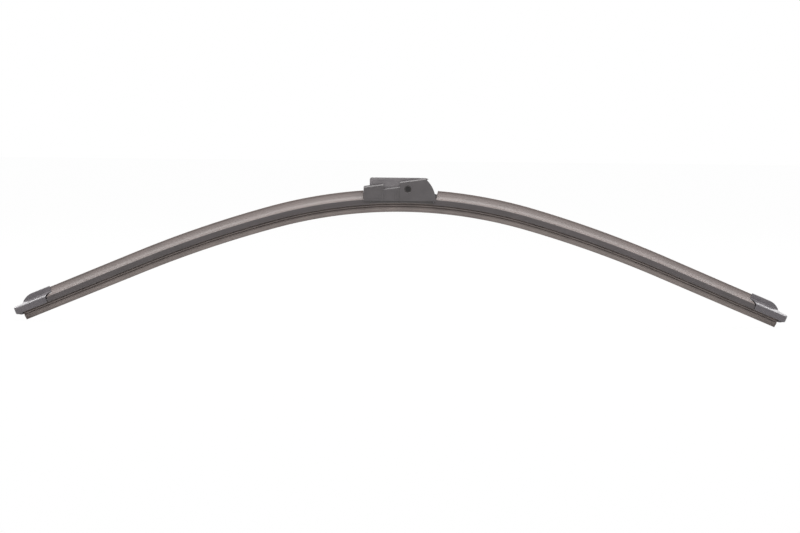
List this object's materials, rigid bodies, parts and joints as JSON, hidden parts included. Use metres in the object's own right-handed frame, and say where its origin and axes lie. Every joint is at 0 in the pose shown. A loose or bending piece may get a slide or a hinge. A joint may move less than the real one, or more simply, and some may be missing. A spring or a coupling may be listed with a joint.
{
  "type": "flat windscreen wiper blade",
  "caption": "Bent flat wiper blade with rubber strip, spring rails, spoilers, end caps and a pivoting hook-arm adapter in a stepped connector.",
  "frame": {"origin": "on the floor of the adapter, where the arm's strip lies, above the middle of the blade", "axes": "+X along the blade towards the hooded end of the connector, -Y towards the wind, +Z away from the glass"},
  "size_m": [0.6202, 0.0174, 0.117],
  "materials": {
    "wiping_rubber": "matte black rubber, slightly glossy on the body",
    "spring_steel": "rolled spring steel strip",
    "spoiler_elastomer": "smooth extruded elastomer with a soft sheen",
    "cap_plastic": "fine-grained black moulding",
    "bracket_steel": "pressed steel sheet with black dip coat",
    "cover_plastic": "fine-grained black moulding",
    "adapter_plastic": "smooth dark grey moulding"
  },
  "bodies": {
    "adapter": {"arm_adapter": "adapter_plastic"},
    "blade": {"wiper_rubber": "wiping_rubber", "rail_front": "spring_steel", "rail_rear": "spring_steel", "spoiler_left": "spoiler_elastomer", "spoiler_right": "spoiler_elastomer", "end_cap_left": "cap_plastic", "end_cap_right": "cap_plastic", "rail_bracket": "bracket_steel", "pivot_pin": "spring_steel", "connector_cover": "cover_plastic"}
  },
  "joints": [
    {"name": "blade_rock", "type": "hinge", "parent": "adapter", "child": "blade", "pos_m": [0.0047, 0, -0.004], "axis": [0, 1, 0], "range_deg": [-20, 13]}
  ]
}
